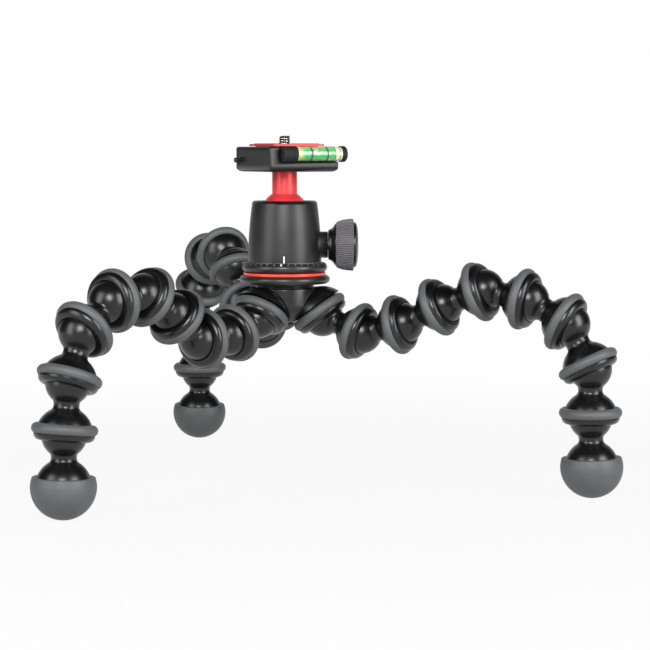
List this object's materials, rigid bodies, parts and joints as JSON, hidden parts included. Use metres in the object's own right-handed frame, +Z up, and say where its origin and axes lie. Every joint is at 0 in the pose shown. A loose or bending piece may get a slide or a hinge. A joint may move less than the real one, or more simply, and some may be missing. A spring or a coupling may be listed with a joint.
{
  "type": "flexible leg tripod",
  "caption": "Small camera tripod: flexible legs of ball and socket links, a moulded hub, and a panning ball head with lock knob, bubble level and quick release plate.",
  "frame": {"origin": "on the floor, below the middle of the three feet", "axes": "+X to the right and +Y to the back as seen in the picture, +Z up along the camera screw"},
  "size_m": [0.2928, 0.3112, 0.1844],
  "materials": {
    "black_gloss": "moulded gloss plastic, polished by handling",
    "grey_rubber": "matte overmoulded rubber",
    "grip_rubber": "matte ribbed rubber",
    "black_platform": "satin moulded plastic",
    "black_satin": "fine textured satin coating on cast metal",
    "black_clamp": "satin anodised",
    "red_metal": "red anodised",
    "steel": "bright steel",
    "slip_plastic": "natural slip plastic",
    "pad_rubber": "matte rubber",
    "vial_clear": "clear acrylic",
    "vial_green": "tinted level fluid"
  },
  "bodies": {
    "hub": {"hub_body": "black_gloss", "hub_rings": "grey_rubber", "platform": "black_platform", "platform_screws": "steel", "hub_stud": "steel", "accent_ring": "red_metal", "pan_base": "black_platform", "pan_clip": "steel"},
    "head": {"housing": "black_satin", "ball_seat": "slip_plastic", "pan_washer": "slip_plastic"},
    "stem": {"ball_stem": "red_metal", "clamp_body": "black_clamp", "stem_screw": "steel", "vial_tube": "vial_clear", "vial_fluid": "vial_green", "vial_caps": "black_gloss"},
    "spindle": {"lock_spindle": "steel", "knob_washer": "black_platform"},
    "knob": {"knob_body": "black_gloss", "knob_grip": "grip_rubber", "knob_cap": "black_gloss"},
    "button": {"release_button": "black_clamp"},
    "plate": {"plate": "red_metal", "plate_pad": "pad_rubber"},
    "screw": {"camera_screw": "steel"},
    "right_link_1": {"right_link_1": "black_gloss"},
    "right_link_2": {"right_link_2": "black_gloss"},
    "right_link_3": {"right_link_3": "black_gloss"},
    "right_link_4": {"right_link_4": "black_gloss"},
    "right_link_5": {"right_link_5": "black_gloss"},
    "right_link_6": {"right_link_6": "black_gloss"},
    "right_link_7": {"right_link_7": "black_gloss"},
    "right_link_8": {"right_link_8": "black_gloss"},
    "right_foot": {"right_foot_link": "black_gloss", "right_foot": "grey_rubber"},
    "left_link_1": {"left_link_1": "black_gloss"},
    "left_link_2": {"left_link_2": "black_gloss"},
    "left_link_3": {"left_link_3": "black_gloss"},
    "left_link_4": {"left_link_4": "black_gloss"},
    "left_link_5": {"left_link_5": "black_gloss"},
    "left_link_6": {"left_link_6": "black_gloss"},
    "left_link_7": {"left_link_7": "black_gloss"},
    "left_link_8": {"left_link_8": "black_gloss"},
    "left_foot": {"left_foot_link": "black_gloss", "left_foot": "grey_rubber"},
    "rear_link_1": {"rear_link_1": "black_gloss"},
    "rear_link_2": {"rear_link_2": "black_gloss"},
    "rear_link_3": {"rear_link_3": "black_gloss"},
    "rear_link_4": {"rear_link_4": "black_gloss"},
    "rear_link_5": {"rear_link_5": "black_gloss"},
    "rear_link_6": {"rear_link_6": "black_gloss"},
    "rear_link_7": {"rear_link_7": "black_gloss"},
    "rear_link_8": {"rear_link_8": "black_gloss"},
    "rear_foot": {"rear_foot_link": "black_gloss", "rear_foot": "grey_rubber"}
  },
  "joints": [
    {"name": "head_pan", "type": "hinge", "parent": "hub", "child": "head", "pos_m": [-0.02717, -0.00059, 0.1163], "axis": [0, 0, 1], "continuous": true},
    {"name": "ball_tilt", "type": "hinge", "parent": "head", "child": "stem", "pos_m": [-0.02717, -0.00059, 0.1421], "axis": [-1, 0, 0], "range_deg": [-24, 90]},
    {"name": "spindle_advance", "type": "slide", "parent": "head", "child": "spindle", "axis": [1, 0, 0], "range_m": [0, 0.00085]},
    {"name": "knob_turn", "type": "hinge", "parent": "spindle", "child": "knob", "pos_m": [0.00283, -0.00059, 0.1254], "axis": [1, 0, 0], "range_deg": [0, 270]},
    {"name": "button_press", "type": "slide", "parent": "stem", "child": "button", "axis": [0.866, 0.5, 0], "range_m": [0, 0.0012], "stiffness_N_per_m": 600, "springref_m": -0.0015},
    {"name": "plate_slide", "type": "slide", "parent": "stem", "child": "plate", "axis": [-0.5, 0.866, 0], "range_m": [0, 0.024]},
    {"name": "camera_screw_turn", "type": "hinge", "parent": "plate", "child": "screw", "pos_m": [-0.02717, -0.00059, 0.1801], "axis": [0, 0, 1], "continuous": true},
    {"name": "right_hip", "type": "hinge", "parent": "hub", "child": "right_link_1", "pos_m": [-0.00663, -0.00458, 0.0869], "axis": [-0.4695, -0.8829, 0], "range_deg": [-68.9, 1.2]},
    {"name": "right_bend_1", "type": "hinge", "parent": "right_link_1", "child": "right_link_2", "pos_m": [0.01441, -0.01577, 0.0787], "axis": [0.4695, 0.8829, 0], "range_deg": [-4.9, 71]},
    {"name": "right_bend_2", "type": "hinge", "parent": "right_link_2", "child": "right_link_3", "pos_m": [0.036, -0.02725, 0.08479], "axis": [-0.4695, -0.8829, 0], "range_deg": [-48.9, 27]},
    {"name": "right_bend_3", "type": "hinge", "parent": "right_link_3", "child": "right_link_4", "pos_m": [0.05616, -0.03797, 0.09544], "axis": [0.4695, 0.8829, 0], "range_deg": [-42.9, 33]},
    {"name": "right_bend_4", "type": "hinge", "parent": "right_link_4", "child": "right_link_5", "pos_m": [0.07707, -0.04909, 0.10406], "axis": [-0.4695, -0.8829, 0], "range_deg": [-7.9, 68]},
    {"name": "right_bend_5", "type": "hinge", "parent": "right_link_5", "child": "right_link_6", "pos_m": [0.09899, -0.06074, 0.09969], "axis": [0.4695, 0.8829, 0], "range_deg": [-55, 20.9]},
    {"name": "right_bend_6", "type": "hinge", "parent": "right_link_6", "child": "right_link_7", "pos_m": [0.1188, -0.07128, 0.08823], "axis": [-0.4695, -0.8829, 0], "range_deg": [-3, 72.9]},
    {"name": "right_bend_7", "type": "hinge", "parent": "right_link_7", "child": "right_link_8", "pos_m": [0.12925, -0.07683, 0.06598], "axis": [0.4695, 0.8829, 0], "range_deg": [-64.9, 11]},
    {"name": "right_ankle", "type": "hinge", "parent": "right_link_8", "child": "right_foot", "pos_m": [0.12964, -0.07704, 0.04079], "axis": [-0.4695, -0.8829, 0], "range_deg": [-38.9, 37]},
    {"name": "left_hip", "type": "hinge", "parent": "hub", "child": "left_link_1", "pos_m": [-0.0409, -0.01639, 0.0869], "axis": [-0.809, 0.5878, 0], "range_deg": [-70.9, 1.3]},
    {"name": "left_bend_1", "type": "hinge", "parent": "left_link_1", "child": "left_link_2", "pos_m": [-0.05507, -0.03588, 0.07953], "axis": [0.809, -0.5878, 0], "range_deg": [-21.9, 54]},
    {"name": "left_bend_2", "type": "hinge", "parent": "left_link_2", "child": "left_link_3", "pos_m": [-0.06988, -0.05627, 0.07909], "axis": [-0.809, 0.5878, 0], "range_deg": [-73.9, 2]},
    {"name": "left_bend_3", "type": "hinge", "parent": "left_link_3", "child": "left_link_4", "pos_m": [-0.08201, -0.07297, 0.09355], "axis": [0.809, -0.5878, 0], "range_deg": [-46.9, 29]},
    {"name": "left_bend_4", "type": "hinge", "parent": "left_link_4", "child": "left_link_5", "pos_m": [-0.09532, -0.09129, 0.10459], "axis": [-0.809, 0.5878, 0], "range_deg": [-7.9, 68]},
    {"name": "left_bend_5", "type": "hinge", "parent": "left_link_5", "child": "left_link_6", "pos_m": [-0.1101, -0.11163, 0.10284], "axis": [0.809, -0.5878, 0], "range_deg": [-66.8, 9.1]},
    {"name": "left_bend_6", "type": "hinge", "parent": "left_link_6", "child": "left_link_7", "pos_m": [-0.12254, -0.12875, 0.08916], "axis": [-0.809, 0.5878, 0], "range_deg": [-2.8, 73.1]},
    {"name": "left_bend_7", "type": "hinge", "parent": "left_link_7", "child": "left_link_8", "pos_m": [-0.12809, -0.13639, 0.0658], "axis": [0.809, -0.5878, 0], "range_deg": [-52.9, 23]},
    {"name": "left_ankle", "type": "hinge", "parent": "left_link_8", "child": "left_foot", "pos_m": [-0.12989, -0.13887, 0.04079], "axis": [-0.809, 0.5878, 0], "range_deg": [-32.9, 43]},
    {"name": "rear_hip", "type": "hinge", "parent": "hub", "child": "rear_link_1", "pos_m": [-0.03398, 0.01919, 0.0869], "axis": [0.9272, 0.3746, 0], "range_deg": [-71.9, 0.5]},
    {"name": "rear_bend_1", "type": "hinge", "parent": "rear_link_1", "child": "rear_link_2", "pos_m": [-0.04306, 0.04165, 0.07995], "axis": [-0.9272, -0.3746, 0], "range_deg": [-0.9, 75]},
    {"name": "rear_bend_2", "type": "hinge", "parent": "rear_link_2", "child": "rear_link_3", "pos_m": [-0.05187, 0.06347, 0.08899], "axis": [0.9272, 0.3746, 0], "range_deg": [-70.9, 5]},
    {"name": "rear_bend_3", "type": "hinge", "parent": "rear_link_3", "child": "rear_link_4", "pos_m": [-0.05742, 0.0772, 0.10937], "axis": [-0.9272, -0.3746, 0], "range_deg": [-73.9, 2]},
    {"name": "rear_bend_4", "type": "hinge", "parent": "rear_link_4", "child": "rear_link_5", "pos_m": [-0.0664, 0.09942, 0.11716], "axis": [0.9272, 0.3746, 0], "range_deg": [-4.9, 71]},
    {"name": "rear_bend_5", "type": "hinge", "parent": "rear_link_5", "child": "rear_link_6", "pos_m": [-0.07552, 0.12199, 0.11064], "axis": [-0.9272, -0.3746, 0], "range_deg": [-73.8, 2.1]},
    {"name": "rear_bend_6", "type": "hinge", "parent": "rear_link_6", "child": "rear_link_7", "pos_m": [-0.08147, 0.13673, 0.09109], "axis": [0.9272, 0.3746, 0], "range_deg": [-3.8, 72.1]},
    {"name": "rear_bend_7", "type": "hinge", "parent": "rear_link_7", "child": "rear_link_8", "pos_m": [-0.0823, 0.13877, 0.06599], "axis": [-0.9272, -0.3746, 0], "range_deg": [-42.9, 33]},
    {"name": "rear_ankle", "type": "hinge", "parent": "rear_link_8", "child": "rear_foot", "pos_m": [-0.0823, 0.13877, 0.04079], "axis": [0.9272, 0.3746, 0], "range_deg": [-39.9, 36]}
  ],
  "couplings": [
    {"joint": "spindle_advance", "follows": "knob_turn", "m_per_rad": 0.00015915}
  ]
}
